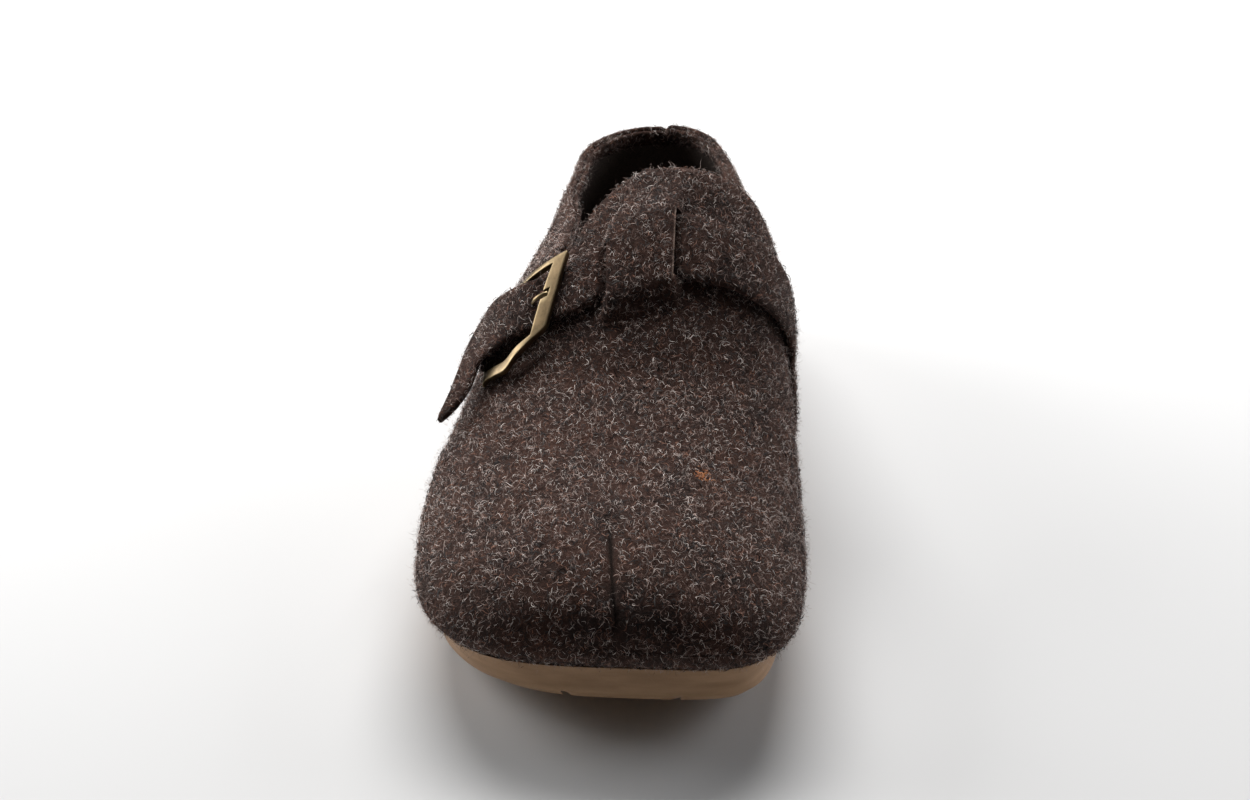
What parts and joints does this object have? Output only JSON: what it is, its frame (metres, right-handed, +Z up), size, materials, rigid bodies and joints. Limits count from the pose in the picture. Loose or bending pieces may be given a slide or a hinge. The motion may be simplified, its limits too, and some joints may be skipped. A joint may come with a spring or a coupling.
{
  "type": "felt clog shoe",
  "caption": "Felt clog for the right foot with a closed toe and heel, an instep strap under a raised strip, a brass buckle on the outer side and a tan moulded sole.",
  "frame": {"origin": "middle of the shoe's box on the ground", "axes": "+Z up, +Y towards the heel, toe at -Y, outer side of the foot at -X"},
  "size_m": [0.1162, 0.274, 0.1063],
  "materials": {
    "felt": "thick heathered wool felt, dark brown with grey and white fibres",
    "lining": "dark brown felt over a moulded footbed",
    "sole": "matt tan moulded rubber",
    "brass": "worn antique"
  },
  "bodies": {
    "root": {"outsole": "sole", "footbed": "lining", "upper": "felt", "strap": "felt", "buckle_frame": "brass", "buckle_prong": "brass", "buckle_tab": "felt"}
  },
  "joints": []
}
